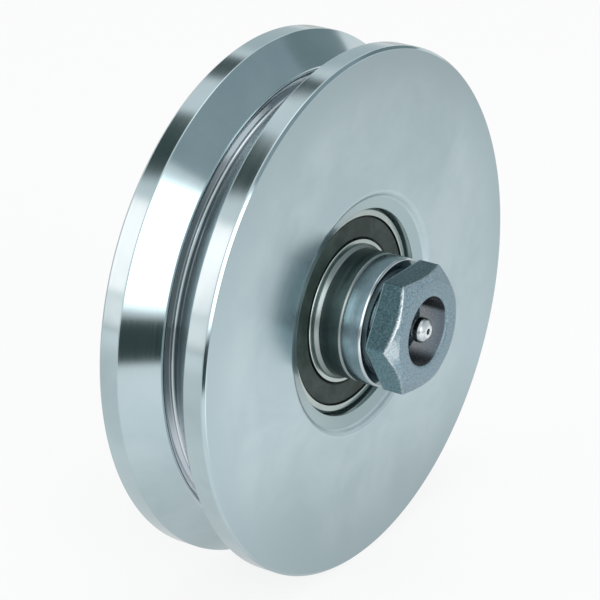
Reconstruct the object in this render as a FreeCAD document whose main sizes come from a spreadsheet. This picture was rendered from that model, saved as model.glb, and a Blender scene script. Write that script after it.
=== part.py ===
import FreeCAD, Part
import os
import Sketcher
from FreeCAD import Placement, Rotation, Vector

# Sliding gate wheel: a grooved steel wheel on two sealed ball bearings and a greased axle.
# The axle lies along Y, its hexagonal head points to -Y, and the origin is the wheel's centre.

# Driving dimensions in millimetres; turns are in degrees.
dimensions = {
    # wheel
    "wheel_diameter": 140,
    "wheel_width": 32,
    "rim_chamfer": 0.8,
    "groove_mouth": 20,
    "slot_width": 4,
    "slot_depth": 3.5,
    "dish_width": 4.6,
    "dish_depth": 2.2,
    "dish_step_width": 1.15,
    "dish_step_depth": 1.15,
    "shoulder_height": 3.5,
    # bearings
    "bearing_bore": 30,
    "bearing_outer": 55,
    "bearing_recess": 4,
    "ring_rim": 2.3,
    "ring_chamfer": 0.8,
    "ball_diameter": 6,
    "ball_count": 8,
    "race_depth": 0.79,
    "race_clearance": 0.05,
    "cage_thickness": 2.4,
    "cage_web": 0.9,
    "cage_finger": 1.8,
    "pocket_clearance": 0.1,
    "seal_thickness": 0.9,
    "seal_recess": 0.3,
    "seal_gap": 0.3,
    "seal_edge": 0.5,
    "seal_lip_clearance": 0.1,
    # bushes and washers
    "bush_diameter": 34,
    "bush_flange": 7.75,
    "bush_collar_diameter": 35.8,
    "bush_collar_length": 0.5,
    "edge_chamfer": 0.5,
    "washer_chamfer": 0.6,
    "front_washer_thickness": 5.95,
    "rear_washer_diameter": 37,
    "rear_washer_thickness": 3,
    "lock_washer_diameter": 33.6,
    "lock_washer_thickness": 4,
    "lock_washer_split": 2,
    # axle
    "shank_diameter": 25,
    "shank_relief": 0.5,
    "thread_diameter": 20,
    "thread_stand": 2,
    "pilot_diameter": 16,
    "pilot_length": 8,
    "pilot_chamfer": 1,
    "head_flats": 30,
    "head_height": 8.2,
    "head_turn": 1,
    "head_boss": 1.6,
    "hex_face_step": 1.5,
    "nut_flats": 30,
    "nut_height": 16,
    "counterbore_diameter": 18,
    "counterbore_depth": 10,
    "drilling_diameter": 4,
    "cross_hole_diameter": 3,
    "grease_groove_width": 4,
    "grease_groove_depth": 1,
    # grease nipple
    "nipple_thread": 6,
    "nipple_thread_length": 5.5,
    "nipple_hole_spare": 1.5,
    "nipple_flats": 8,
    "nipple_hex_height": 3,
    "nipple_neck_diameter": 4.4,
    "nipple_head_diameter": 6.5,
    "nipple_head_height": 2.9,
    "nipple_tip_diameter": 3.4,
    "nipple_inlet_diameter": 1.5,
    "nipple_inlet_length": 0.7,
    "nipple_bore_diameter": 3.2,
    "nipple_foot": 1,
    "valve_ball_diameter": 2.5,
    "valve_seat_gap": 0.02,
    "spring_wire": 0.4,
    "spring_turns": 4,
    # fits
    "slide_fit": 0.05,
    "seat_fit": 0.01,
}

# Radii of the wheel and its bearings.
rim = "(dims.wheel_diameter / 2)"
slot_top = f"({rim} - (dims.groove_mouth - dims.slot_width) / 2)"
bearing_radius = "(dims.bearing_outer / 2)"
seat_radius = f"({bearing_radius} + dims.seat_fit)"
pitch = "((dims.bearing_bore + dims.bearing_outer) / 4)"
ball_radius = "(dims.ball_diameter / 2)"
race_radius = f"({ball_radius} + dims.race_clearance)"
inner_land = f"({pitch} - {ball_radius} + dims.race_depth)"
outer_land = f"({pitch} + {ball_radius} - dims.race_depth)"
seal_seat = f"({bearing_radius} - dims.ring_rim)"

# Radii of the axle.
shank_radius = "(dims.shank_diameter / 2)"
shank_bore = f"({shank_radius} + dims.slide_fit)"
thread_radius = "(dims.thread_diameter / 2)"
thread_bore = f"({thread_radius} + dims.slide_fit)"
pilot_radius = "(dims.pilot_diameter / 2)"
drilling_radius = "(dims.drilling_diameter / 2)"
nipple_thread_radius = "(dims.nipple_thread / 2)"
nipple_bore = "(dims.nipple_bore_diameter / 2)"
nipple_inlet = "(dims.nipple_inlet_diameter / 2)"

# Distances from the wheel's middle plane, along the axle.
half_width = "(dims.wheel_width / 2)"
bearing_half = f"({ball_radius} + dims.seal_gap + dims.seal_thickness + dims.seal_recess)"
bearing_face = f"({half_width} - dims.bearing_recess)"
bearing_middle = f"({bearing_face} - {bearing_half})"
shoulder_half = f"({bearing_face} - 2 * {bearing_half})"
bush_end = f"({bearing_face} + dims.bush_flange)"
front_washer_end = f"({bush_end} + dims.front_washer_thickness)"
head_seat = f"({front_washer_end} + dims.head_boss)"
head_front = f"({head_seat} + dims.head_height)"
bore_floor = f"({head_front} - dims.counterbore_depth)"
rear_washer_end = f"({bush_end} + dims.rear_washer_thickness)"
lock_washer_end = f"({rear_washer_end} + dims.lock_washer_thickness)"
nut_end = f"({lock_washer_end} + dims.nut_height)"
thread_end = f"({nut_end} + dims.thread_stand)"
pilot_start = f"({thread_end} + {thread_radius} - {pilot_radius})"
stud_end = f"({pilot_start} + dims.pilot_length)"

# Stations of the grease nipple, measured forwards from the wheel's middle plane.
nipple_end = f"({bore_floor} - dims.nipple_thread_length)"
nipple_hex_top = f"({bore_floor} + dims.nipple_hex_height)"
nipple_shoulder = f"({head_front} - dims.nipple_head_height)"
valve_seat = f"({head_front} - dims.nipple_inlet_length)"
valve_radius = "(dims.valve_ball_diameter / 2)"
# The seat is a 90 degree cone from the inlet's edge, and the ball rests in it.
valve_centre = (
    f"({valve_seat} + {nipple_inlet} - ({valve_radius} + dims.valve_seat_gap) / cos(45 deg))"
)
spring_radius = f"({nipple_bore} - dims.spring_wire)"
spring_foot = f"({nipple_end} + dims.nipple_foot + dims.spring_wire / 2 + dims.valve_seat_gap)"
spring_top = (
    f"({valve_centre} - sqrt(({valve_radius} + dims.spring_wire / 2 + dims.valve_seat_gap) ^ 2"
    f" - {spring_radius} ^ 2))"
)

doc = FreeCAD.newDocument("gate_wheel")
sheet = doc.addObject("Spreadsheet::Sheet", "dims")
for row, (alias, value) in enumerate(dimensions.items(), start=1):
    sheet.set(f"A{row}", alias)
    sheet.set(f"B{row}", str(value))
    sheet.setAlias(f"B{row}", alias)
doc.recompute()

half_turn = Rotation(Vector(0, 0, 1), 180)
parts = []


def new_body(name):
    body = doc.addObject("PartDesign::Body", name)
    body.Label = name
    parts.append(body)
    return body


def new_sketch(body, name, role):
    sketch = body.newObject("Sketcher::SketchObject", f"{body.Name}_{name}")
    plane = [feature for feature in body.Origin.OriginFeatures if feature.Role == role][0]
    sketch.AttachmentSupport = [(plane, "")]
    sketch.MapMode = "FlatFace"
    return sketch


def pin_point(sketch, geometry, point, name, place):
    """Hold a point of the sketch at a pair of expressions."""
    for axis, expression in zip("XY", place):
        value = sketch.evalExpression(expression)
        constraint = Sketcher.Constraint(f"Distance{axis}", -1, 1, geometry, point, value)
        sketch.renameConstraint(sketch.addConstraint(constraint), name + axis)
        sketch.setExpression(f"Constraints.{name}{axis}", expression)


def draw_outline(body, name, corners, role="XY_Plane"):
    """A closed outline of straight edges between corners that are pairs of expressions."""
    sketch = new_sketch(body, name, role)
    places = [Vector(*(sketch.evalExpression(part) for part in corner), 0) for corner in corners]
    count = len(corners)
    for i in range(count):
        sketch.addGeometry(Part.LineSegment(places[i], places[(i + 1) % count]))
    for i in range(count):
        sketch.addConstraint(Sketcher.Constraint("Coincident", i, 2, (i + 1) % count, 1))
    for i, corner in enumerate(corners):
        pin_point(sketch, i, 1, f"corner{i}", corner)
    return sketch


def draw_circle(body, name, centre, radius, role="XY_Plane"):
    sketch = new_sketch(body, name, role)
    place = Vector(*(sketch.evalExpression(part) for part in centre), 0)
    size = sketch.evalExpression(radius)
    sketch.addGeometry(Part.Circle(place, Vector(0, 0, 1), size))
    pin_point(sketch, 0, 3, "centre", centre)
    sketch.renameConstraint(sketch.addConstraint(Sketcher.Constraint("Radius", 0, size)), "size")
    sketch.setExpression("Constraints.size", radius)
    return sketch


def turn_feature(body, kind, name, sketch):
    """Spin a sketch round the axle: Revolution adds, Groove cuts."""
    feature = body.newObject(f"PartDesign::{kind}", f"{body.Name}_{name}")
    feature.Profile = sketch
    feature.ReferenceAxis = (sketch, ["V_Axis"])
    feature.Angle = 360
    return feature


def add_turned(body, name, corners):
    return turn_feature(body, "Revolution", name, draw_outline(body, f"{name}_outline", corners))


def cut_turned(body, name, corners):
    return turn_feature(body, "Groove", name, draw_outline(body, f"{name}_outline", corners))


def cut_race(body):
    circle = draw_circle(body, "race_circle", (pitch, "0"), race_radius)
    return turn_feature(body, "Groove", "race", circle)


def add_hexagon(body, name, flats, turn, station, height):
    """A hexagonal prism that starts at a station along the axle and grows towards -Y."""
    corner_radius = f"{flats} / 2 / cos(30 deg)"
    angles = [f"({turn} + {60 * k}) * 1 deg" for k in range(6)]
    corners = [(f"{corner_radius} * cos({a})", f"{corner_radius} * sin({a})") for a in angles]
    sketch = draw_outline(body, f"{name}_outline", corners, "XZ_Plane")
    sketch.setExpression("AttachmentOffset.Base.z", station)
    pad = body.newObject("PartDesign::Pad", f"{body.Name}_{name}")
    pad.Profile = sketch
    pad.setExpression("Length", height)
    return pad


def chamfer_hexagon(body, name, flats, station, inwards):
    """Turn the corners off at 30 degrees, from a face at a station; inwards is + or -."""
    face_radius = f"({flats} / 2 - dims.hex_face_step)"
    outside = f"({flats} / 2 / cos(30 deg) + dims.hex_face_step)"
    depth = f"({outside} - {face_radius}) * tan(30 deg)"
    corners = [(face_radius, station), (outside, station), (outside, f"{station} {inwards} {depth}")]
    return cut_turned(body, name, corners)


def cut_radial(body, name, radius, both_ways):
    """A round hole square to the axle in the middle plane, up along Z or both ways."""
    pocket = body.newObject("PartDesign::Pocket", f"{body.Name}_{name}")
    pocket.Profile = draw_circle(body, f"{name}_circle", ("0", "0"), radius)
    pocket.Type = "ThroughAll"
    pocket.Midplane = both_ways
    pocket.Reversed = not both_ways
    return pocket


def seat_bearing_piece(item, side):
    """Move a bearing piece from the middle plane to its place behind the front or rear face."""
    if side == "rear":
        item.Placement = Placement(Vector(), half_turn)
        item.setExpression("Placement.Base.y", bearing_middle)
    else:
        item.setExpression("Placement.Base.y", f"-{bearing_middle}")


def make_wheel():
    dish_edge = f"{seat_radius} + dims.dish_width"
    # Half of the section, from the groove's floor round the rim and face to the middle of the bore.
    half_section = [
        (f"{slot_top} - dims.slot_depth", "dims.slot_width / 2"),
        (slot_top, "dims.slot_width / 2"),
        (rim, "dims.groove_mouth / 2"),
        (rim, f"{half_width} - dims.rim_chamfer"),
        (f"{rim} - dims.rim_chamfer", half_width),
        (dish_edge, half_width),
        (f"{dish_edge} - dims.dish_step_width", f"{half_width} - dims.dish_step_depth"),
        (seat_radius, f"{half_width} - dims.dish_depth"),
        (seat_radius, shoulder_half),
        (f"{seat_radius} - dims.shoulder_height", shoulder_half),
    ]
    other_half = [(radius, f"-({station})") for radius, station in reversed(half_section)]
    add_turned(new_body("wheel"), "section", half_section + other_half)


def make_outer_ring(side):
    body = new_body(f"{side}_outer_ring")
    seal_floor = f"-({ball_radius} + dims.seal_gap)"
    add_turned(body, "section", [
        (seal_seat, f"-{bearing_half}"),
        (f"{bearing_radius} - dims.ring_chamfer", f"-{bearing_half}"),
        (bearing_radius, f"dims.ring_chamfer - {bearing_half}"),
        (bearing_radius, f"{bearing_half} - dims.ring_chamfer"),
        (f"{bearing_radius} - dims.ring_chamfer", bearing_half),
        (outer_land, bearing_half),
        (outer_land, seal_floor),
        (seal_seat, seal_floor),
    ])
    cut_race(body)
    seat_bearing_piece(body, side)


def make_inner_ring(side):
    body = new_body(f"{side}_inner_ring")
    bore = "(dims.bearing_bore / 2)"
    add_turned(body, "section", [
        (bore, f"dims.ring_chamfer - {bearing_half}"),
        (f"{bore} + dims.ring_chamfer", f"-{bearing_half}"),
        (inner_land, f"-{bearing_half}"),
        (inner_land, bearing_half),
        (f"{bore} + dims.ring_chamfer", bearing_half),
        (bore, f"{bearing_half} - dims.ring_chamfer"),
    ])
    cut_race(body)
    seat_bearing_piece(body, side)


def make_cage(side):
    body = new_body(f"{side}_cage")
    inside = f"{pitch} - dims.cage_thickness / 2"
    outside = f"{pitch} + dims.cage_thickness / 2"
    web_end = f"{ball_radius} + dims.pocket_clearance + dims.cage_web"
    add_turned(body, "crown", [
        (inside, "-dims.cage_finger"),
        (outside, "-dims.cage_finger"),
        (outside, web_end),
        (inside, web_end),
    ])
    pocket = cut_radial(body, "pocket", f"{ball_radius} + dims.pocket_clearance", False)
    pattern = body.newObject("PartDesign::PolarPattern", f"{body.Name}_pockets")
    pattern.Originals = [pocket]
    pattern.Axis = (pocket.Profile[0], ["V_Axis"])
    pattern.Angle = 360
    pattern.setExpression("Occurrences", "dims.ball_count")
    body.Tip = pattern
    seat_bearing_piece(body, side)


def make_balls(side):
    balls = []
    for i in range(dimensions["ball_count"]):
        ball = doc.addObject("Part::Sphere", f"{side}_ball_{i + 1}")
        angle = f"({i} * 360 / dims.ball_count) * 1 deg"
        ball.setExpression("Radius", ball_radius)
        ball.setExpression("Placement.Base.x", f"{pitch} * sin({angle})")
        ball.setExpression("Placement.Base.z", f"{pitch} * cos({angle})")
        balls.append(ball)
    group = doc.addObject("Part::Compound", f"{side}_balls")
    group.Label = f"{side}_balls"
    group.Links = balls
    seat_bearing_piece(group, side)
    parts.append(group)


def make_seal(side):
    body = new_body(f"{side}_seal")
    lip = f"({inner_land} + dims.seal_lip_clearance)"
    outside = f"({seal_seat} - dims.seat_fit)"
    outer_face = f"(dims.seal_recess - {bearing_half})"
    inner_face = f"{outer_face} + dims.seal_thickness"
    add_turned(body, "section", [
        (lip, f"{outer_face} + dims.seal_edge"),
        (f"{lip} + dims.seal_edge", outer_face),
        (f"{outside} - dims.seal_edge", outer_face),
        (outside, f"{outer_face} + dims.seal_edge"),
        (outside, inner_face),
        (lip, inner_face),
    ])
    seat_bearing_piece(body, side)


def make_bush(side):
    body = new_body(f"{side}_bush")
    flange = "(dims.bush_diameter / 2)"
    collar = "(dims.bush_collar_diameter / 2)"
    collar_end = f"-{bearing_face} - dims.bush_collar_length"
    spigot = "dims.bearing_bore / 2 - dims.seat_fit"
    add_turned(body, "section", [
        (shank_bore, f"-{bush_end}"),
        (f"{flange} - dims.edge_chamfer", f"-{bush_end}"),
        (flange, f"dims.edge_chamfer - {bush_end}"),
        (flange, f"{collar_end} - ({collar} - {flange})"),
        (collar, collar_end),
        (collar, f"-{bearing_face}"),
        (spigot, f"-{bearing_face}"),
        (spigot, "0"),
        (shank_bore, "0"),
    ])
    # The two spigots meet in the middle plane, and each holds half of the grease outlet.
    cut_radial(body, "grease_outlet", "dims.cross_hole_diameter / 2", True)
    if side == "rear":
        body.Placement = Placement(Vector(), half_turn)


def make_plain_washer(name, bore, diameter, start, end):
    body = new_body(name)
    edge = f"({diameter} / 2)"
    add_turned(body, "section", [
        (bore, start),
        (f"{edge} - dims.washer_chamfer", start),
        (edge, f"{start} + dims.washer_chamfer"),
        (edge, f"{end} - dims.washer_chamfer"),
        (f"{edge} - dims.washer_chamfer", end),
        (bore, end),
    ])


def make_lock_washer():
    body = new_body("lock_washer")
    outside = "dims.lock_washer_diameter / 2"
    add_turned(body, "section", [
        (thread_bore, rear_washer_end),
        (outside, rear_washer_end),
        (outside, lock_washer_end),
        (thread_bore, lock_washer_end),
    ])
    # The split leans across the ring, so its two ends bite when the nut is tight.
    split = body.newObject("PartDesign::Pocket", "lock_washer_split")
    split.Profile = draw_outline(body, "split_outline", [
        ("dims.lock_washer_split / -2 - dims.lock_washer_split", rear_washer_end),
        ("dims.lock_washer_split / 2 - dims.lock_washer_split", rear_washer_end),
        ("dims.lock_washer_split / 2 + dims.lock_washer_split", lock_washer_end),
        ("dims.lock_washer_split / -2 + dims.lock_washer_split", lock_washer_end),
    ])
    split.Type = "ThroughAll"
    split.Reversed = True


def make_axle_bolt():
    body = new_body("axle_bolt")
    groove_half = "dims.grease_groove_width / 2"
    groove_floor = f"{shank_radius} - dims.grease_groove_depth"
    boss = "dims.head_flats / 2 - dims.hex_face_step"
    shank_end = f"{bush_end} - dims.shank_relief"
    add_hexagon(body, "head", "dims.head_flats", "dims.head_turn", head_seat, "dims.head_height")
    add_turned(body, "shank", [
        ("0", f"-{head_seat}"),
        (boss, f"-{head_seat}"),
        (boss, f"-{front_washer_end}"),
        (shank_radius, f"-{front_washer_end}"),
        (shank_radius, f"-{groove_half}"),
        (groove_floor, f"-{groove_half}"),
        (groove_floor, groove_half),
        (shank_radius, groove_half),
        (shank_radius, shank_end),
        (thread_radius, shank_end),
        (thread_radius, thread_end),
        (pilot_radius, pilot_start),
        (pilot_radius, f"{stud_end} - dims.pilot_chamfer"),
        (f"{pilot_radius} - dims.pilot_chamfer", stud_end),
        ("0", stud_end),
    ])
    chamfer_hexagon(body, "head_chamfer", "dims.head_flats", f"-{head_front}", "+")
    # The counterbore, the nipple's threaded hole and the grease drilling share the axis.
    hole_end = f"-({nipple_end} - dims.nipple_hole_spare)"
    counterbore = "dims.counterbore_diameter / 2"
    cut_turned(body, "grease_way", [
        ("0", f"-{head_front}"),
        (f"{counterbore} + dims.edge_chamfer", f"-{head_front}"),
        (counterbore, f"-{head_front} + dims.edge_chamfer"),
        (counterbore, f"-{bore_floor}"),
        (nipple_thread_radius, f"-{bore_floor}"),
        (nipple_thread_radius, hole_end),
        (drilling_radius, hole_end),
        (drilling_radius, "dims.cross_hole_diameter"),
        ("0", f"dims.cross_hole_diameter + {drilling_radius}"),
    ])
    cut_radial(body, "cross_hole", "dims.cross_hole_diameter / 2", True)


def make_axle_nut():
    body = new_body("axle_nut")
    add_hexagon(body, "hexagon", "dims.nut_flats", "0", f"-{nut_end}", "dims.nut_height")
    chamfer_hexagon(body, "front_chamfer", "dims.nut_flats", lock_washer_end, "+")
    chamfer_hexagon(body, "rear_chamfer", "dims.nut_flats", nut_end, "-")
    mouth = f"{thread_bore} + dims.edge_chamfer"
    cut_turned(body, "threaded_hole", [
        ("0", lock_washer_end),
        (mouth, lock_washer_end),
        (thread_bore, f"{lock_washer_end} + dims.edge_chamfer"),
        (thread_bore, f"{nut_end} - dims.edge_chamfer"),
        (mouth, nut_end),
        ("0", nut_end),
    ])


def make_nipple_body():
    body = new_body("nipple_body")
    thread = f"{nipple_thread_radius} - dims.seat_fit"
    neck = "(dims.nipple_neck_diameter / 2)"
    head = "(dims.nipple_head_diameter / 2)"
    tip = "(dims.nipple_tip_diameter / 2)"
    hex_top = f"-{nipple_hex_top}"
    add_hexagon(body, "hexagon", "dims.nipple_flats", "0", bore_floor, "dims.nipple_hex_height")
    add_turned(body, "stem", [
        ("0", f"-{nipple_end}"),
        (thread, f"-{nipple_end}"),
        (thread, hex_top),
        (neck, f"{hex_top} - ({thread} - {neck})"),
        (neck, f"-{nipple_shoulder} + ({head} - {neck})"),
        (head, f"-{nipple_shoulder}"),
        (head, f"-{head_front} + ({head} - {tip})"),
        (tip, f"-{head_front}"),
        ("0", f"-{head_front}"),
    ])
    foot = f"-({nipple_end} + dims.nipple_foot)"
    foot_bore = f"{nipple_bore} - dims.spring_wire * 1.5"
    cut_turned(body, "valve_way", [
        ("0", f"-{head_front}"),
        (nipple_inlet, f"-{head_front}"),
        (nipple_inlet, f"-{valve_seat}"),
        (nipple_bore, f"-{valve_seat} + ({nipple_bore} - {nipple_inlet})"),
        (nipple_bore, foot),
        (foot_bore, foot),
        (foot_bore, f"-{nipple_end}"),
        ("0", f"-{nipple_end}"),
    ])


def make_nipple_ball():
    ball = doc.addObject("Part::Sphere", "nipple_ball")
    ball.Label = "nipple_ball"
    ball.setExpression("Radius", valve_radius)
    ball.setExpression("Placement.Base.y", f"-{valve_centre}")
    parts.append(ball)


def make_nipple_spring():
    body = new_body("nipple_spring")
    wire = draw_circle(body, "wire", (spring_radius, f"-{spring_top}"), "dims.spring_wire / 2")
    coil = body.newObject("PartDesign::AdditiveHelix", "nipple_spring_coil")
    coil.Profile = wire
    coil.ReferenceAxis = (wire, ["V_Axis"])
    coil.Mode = "height-turns-angle"
    coil.setExpression("Height", f"{spring_top} - {spring_foot}")
    coil.setExpression("Turns", "dims.spring_turns")


def check_document():
    """Stop if any object failed to build, or a sub-part isn't a sound solid."""
    for item in doc.Objects:
        if "Invalid" in item.State or "Error" in item.State:
            raise RuntimeError(f"{item.Name} failed: {item.State}")
    for item in parts:
        if item.Shape.isNull() or not item.Shape.isValid() or not item.Shape.Solids:
            raise RuntimeError(f"{item.Label} has no sound solid")


make_wheel()
for side in ("front", "rear"):
    make_outer_ring(side)
    make_inner_ring(side)
    make_cage(side)
    make_balls(side)
    make_seal(side)
    make_bush(side)
make_plain_washer("front_washer", shank_bore, "dims.bush_diameter", f"-{front_washer_end}", f"-{bush_end}")
make_plain_washer("rear_washer", thread_bore, "dims.rear_washer_diameter", bush_end, rear_washer_end)
make_lock_washer()
make_axle_bolt()
make_axle_nut()
make_nipple_body()
make_nipple_ball()
make_nipple_spring()
doc.recompute()
check_document()

os.makedirs("parts", exist_ok=True)
for item in parts:
    item.Shape.exportStep(f"parts/{item.Label}.step")
    print(f"{item.Label}: {len(item.Shape.Solids)} solid(s), {item.Shape.Volume:.1f} mm3")
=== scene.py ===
import bpy
import math
from mathutils import Matrix, Vector


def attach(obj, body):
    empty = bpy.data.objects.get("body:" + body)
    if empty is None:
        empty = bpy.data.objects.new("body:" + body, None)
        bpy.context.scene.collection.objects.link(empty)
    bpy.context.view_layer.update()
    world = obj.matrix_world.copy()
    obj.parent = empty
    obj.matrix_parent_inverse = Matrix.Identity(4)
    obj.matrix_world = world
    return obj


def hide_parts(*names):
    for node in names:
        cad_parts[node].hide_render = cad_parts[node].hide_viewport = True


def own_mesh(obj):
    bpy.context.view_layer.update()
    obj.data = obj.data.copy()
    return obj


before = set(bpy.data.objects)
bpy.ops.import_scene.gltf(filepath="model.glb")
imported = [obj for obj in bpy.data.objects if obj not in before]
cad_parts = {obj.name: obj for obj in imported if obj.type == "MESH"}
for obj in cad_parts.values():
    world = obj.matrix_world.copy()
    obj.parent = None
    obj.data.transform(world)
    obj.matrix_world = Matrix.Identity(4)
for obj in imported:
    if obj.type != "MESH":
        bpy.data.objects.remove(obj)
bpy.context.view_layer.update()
mm = 0.001
axleAxis = (0, 1, 0)
mergeGap = 0.002 * mm  # points closer than this become one
sameRow = 0.01  # mm, how exactly a row of points is found again
sharpAngle = math.radians(22)  # edges bent more than this are rounded
chamferSlope = math.tan(math.radians(30))  # of the hexagons' chamfers


# small tools for working by hand

def clearSelection():
    if bpy.context.mode != "OBJECT":
        bpy.ops.object.mode_set(mode="OBJECT")
    bpy.ops.object.select_all(action="DESELECT")


def pickOnly(piece):
    clearSelection()
    piece.select_set(True)
    bpy.context.view_layer.objects.active = piece


def easeCorners(corners, steps=6):  # a corner with a third number is drawn as an arc of that radius
    eased = []
    for i, corner in enumerate(corners):
        here, before, after = (Vector((*point[:2], 0)) for point in
                               (corner, corners[i - 1], corners[(i + 1) % len(corners)]))
        if len(corner) == 2:
            eased.append(here)
            continue
        towards, onwards = (before - here).normalized(), (after - here).normalized()
        half = towards.angle(onwards) / 2
        centre = here + (towards + onwards).normalized() * corner[2] / math.sin(half)
        first, last = (here + side * corner[2] / math.tan(half) - centre for side in (towards, onwards))
        spokes = (first.slerp(last, step / steps).normalized() for step in range(steps + 1))
        eased += [centre + spoke * corner[2] for spoke in spokes]
    return eased


def drawSection(name, corners):  # corners are (radius, place along the axle) in mm, round a closed outline
    clearSelection()
    bpy.ops.mesh.primitive_plane_add(size=mm)
    piece = bpy.context.object
    piece.name = name
    bpy.ops.object.mode_set(mode="EDIT")
    bpy.ops.mesh.select_mode(type="VERT")
    bpy.ops.mesh.merge(type="CENTER")
    places = [corner * mm for corner in easeCorners(corners)]
    bpy.ops.transform.translate(value=places[0])
    for here, there in zip(places, places[1:] + places[:1]):
        bpy.ops.mesh.extrude_vertices_move(TRANSFORM_OT_translate={"value": there - here})
    bpy.ops.mesh.select_all(action="SELECT")
    bpy.ops.mesh.remove_doubles(threshold=mergeGap)
    return piece


def closeMesh():  # in edit mode: merge what spin or boolean left double, then face outwards
    bpy.ops.mesh.select_all(action="SELECT")
    bpy.ops.mesh.remove_doubles(threshold=mergeGap)
    bpy.ops.mesh.delete_loose()
    bpy.ops.mesh.select_all(action="SELECT")
    bpy.ops.mesh.normals_make_consistent(inside=False)
    bpy.ops.object.mode_set(mode="OBJECT")


def spinSection(name, corners, steps):
    piece = drawSection(name, corners)
    bpy.ops.mesh.select_all(action="SELECT")
    bpy.ops.mesh.spin(steps=steps, angle=2 * math.pi, center=(0, 0, 0), axis=axleAxis)
    closeMesh()
    return piece


def applyModifier(piece, kind, **settings):
    pickOnly(piece)
    bpy.ops.object.modifier_add(type=kind)
    modifier = piece.modifiers[-1]
    for key, value in settings.items():
        setattr(modifier, key, value)
    bpy.ops.object.modifier_apply(modifier=modifier.name)


def roundEdges(piece, width, segments=3):
    applyModifier(piece, "BEVEL", width=width * mm, segments=segments, limit_method="ANGLE",
                  angle_limit=sharpAngle)


def smoothFlats(piece):
    pickOnly(piece)
    bpy.ops.object.shade_smooth()
    applyModifier(piece, "WEIGHTED_NORMAL", weight=100, keep_sharp=True)


def turnPiece(name, corners, steps, edge):
    piece = spinSection(name, corners, steps)
    roundEdges(piece, edge)
    smoothFlats(piece)
    return piece


def chamferFall(radius, face):  # how far a 30 degree chamfer has dropped behind the end face at a radius
    return (radius - face) * chamferSlope


def pressHexagon(piece, flats, face, chamferedEnds):  # rows that stand at the corner radius become six flats
    corner = flats / math.sqrt(3)
    for vertex in piece.data.vertices:
        x, along, z = vertex.co / mm
        if abs(math.hypot(x, z) - corner) > sameRow:
            continue
        fromFlat = math.radians(math.degrees(math.atan2(z, x)) % 60 - 30)
        radius = flats / 2 / math.cos(fromFlat)
        for end, inward in chamferedEnds:
            if abs(along - end - inward * chamferFall(corner, face)) < sameRow:
                along = end + inward * chamferFall(radius, face)
        vertex.co = Vector((x * radius / corner, along, z * radius / corner)) * mm


def cutRows(piece, start, end, cuts):  # divides the lines that run along the axle between two places
    shortest, nearAxle = 0.5, 1.0  # shorter lines, and those at the axle's middle, stay whole
    pickOnly(piece)
    bpy.ops.object.mode_set(mode="EDIT")
    bpy.ops.mesh.select_mode(type="EDGE")
    bpy.ops.mesh.select_all(action="DESELECT")
    bpy.ops.object.mode_set(mode="OBJECT")
    points = [vertex.co / mm for vertex in piece.data.vertices]
    for edge in piece.data.edges:
        low, high = sorted(points[i].y for i in edge.vertices)
        radius = math.hypot(*points[edge.vertices[0]].xz)
        edge.select = start < low < high < end and high - low > shortest and radius > nearAxle
    bpy.ops.object.mode_set(mode="EDIT")
    bpy.ops.mesh.subdivide(number_cuts=cuts)
    bpy.ops.object.mode_set(mode="OBJECT")


def copyToRear(piece, name):  # the rear bearing and bush face the other way on the same axle
    pickOnly(piece)
    bpy.ops.object.duplicate()
    twin = bpy.context.object
    twin.name = name
    twin.data.name = name
    twin.rotation_euler = (0, 0, math.pi)
    bpy.ops.object.transform_apply(location=True, rotation=True, scale=True)
    return twin


def dress(piece, body, node, material):
    piece.data.materials.clear()
    piece.data.materials.append(material)
    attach(piece, body)
    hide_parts(node)


# shader groups shared by the materials

def newNode(tree, kind, **settings):
    node = tree.nodes.new(kind)
    for key, value in settings.items():
        setattr(node, key, value)
    return node


def setInputs(node, **values):
    for key, value in values.items():
        node.inputs[key].default_value = value
    return node


def startGroup(name, inputs, outputs):
    group = bpy.data.node_groups.new(name, "ShaderNodeTree")
    addSocket = group.interface.new_socket
    for label, value in inputs.items():
        addSocket(name=label, in_out="INPUT", socket_type="NodeSocketFloat").default_value = value
    for label in outputs:
        addSocket(name=label, in_out="OUTPUT", socket_type="NodeSocketFloat")
    return group, newNode(group, "NodeGroupInput"), newNode(group, "NodeGroupOutput")


def addMath(tree, operation, first, second=None):
    node = newNode(tree, "ShaderNodeMath", operation=operation)
    for socket, value in zip(node.inputs, (first, second)):
        if isinstance(value, (int, float)):
            socket.default_value = value
        elif value is not None:
            tree.links.new(value, socket)
    return node.outputs[0]


def product(tree, first, *others):
    for value in others:
        first = addMath(tree, "MULTIPLY", first, value)
    return first


def remap(tree, value, low, high, toLow=0.0, toHigh=1.0):
    node = newNode(tree, "ShaderNodeMapRange", interpolation_type="SMOOTHSTEP")
    setInputs(node, **{"From Min": low, "From Max": high, "To Min": toLow, "To Max": toHigh})
    tree.links.new(value, node.inputs["Value"])
    return node.outputs["Result"]


def fade(tree, value, span):  # 1 before the span, 0 after it
    return remap(tree, value, *span, 1.0, 0.0)


def objectPlace(tree):  # the place on the piece, whole and as x, y and z
    coords = newNode(tree, "ShaderNodeTexCoord").outputs["Object"]
    split = newNode(tree, "ShaderNodeSeparateXYZ")
    tree.links.new(coords, split.inputs[0])
    return coords, *split.outputs


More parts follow.
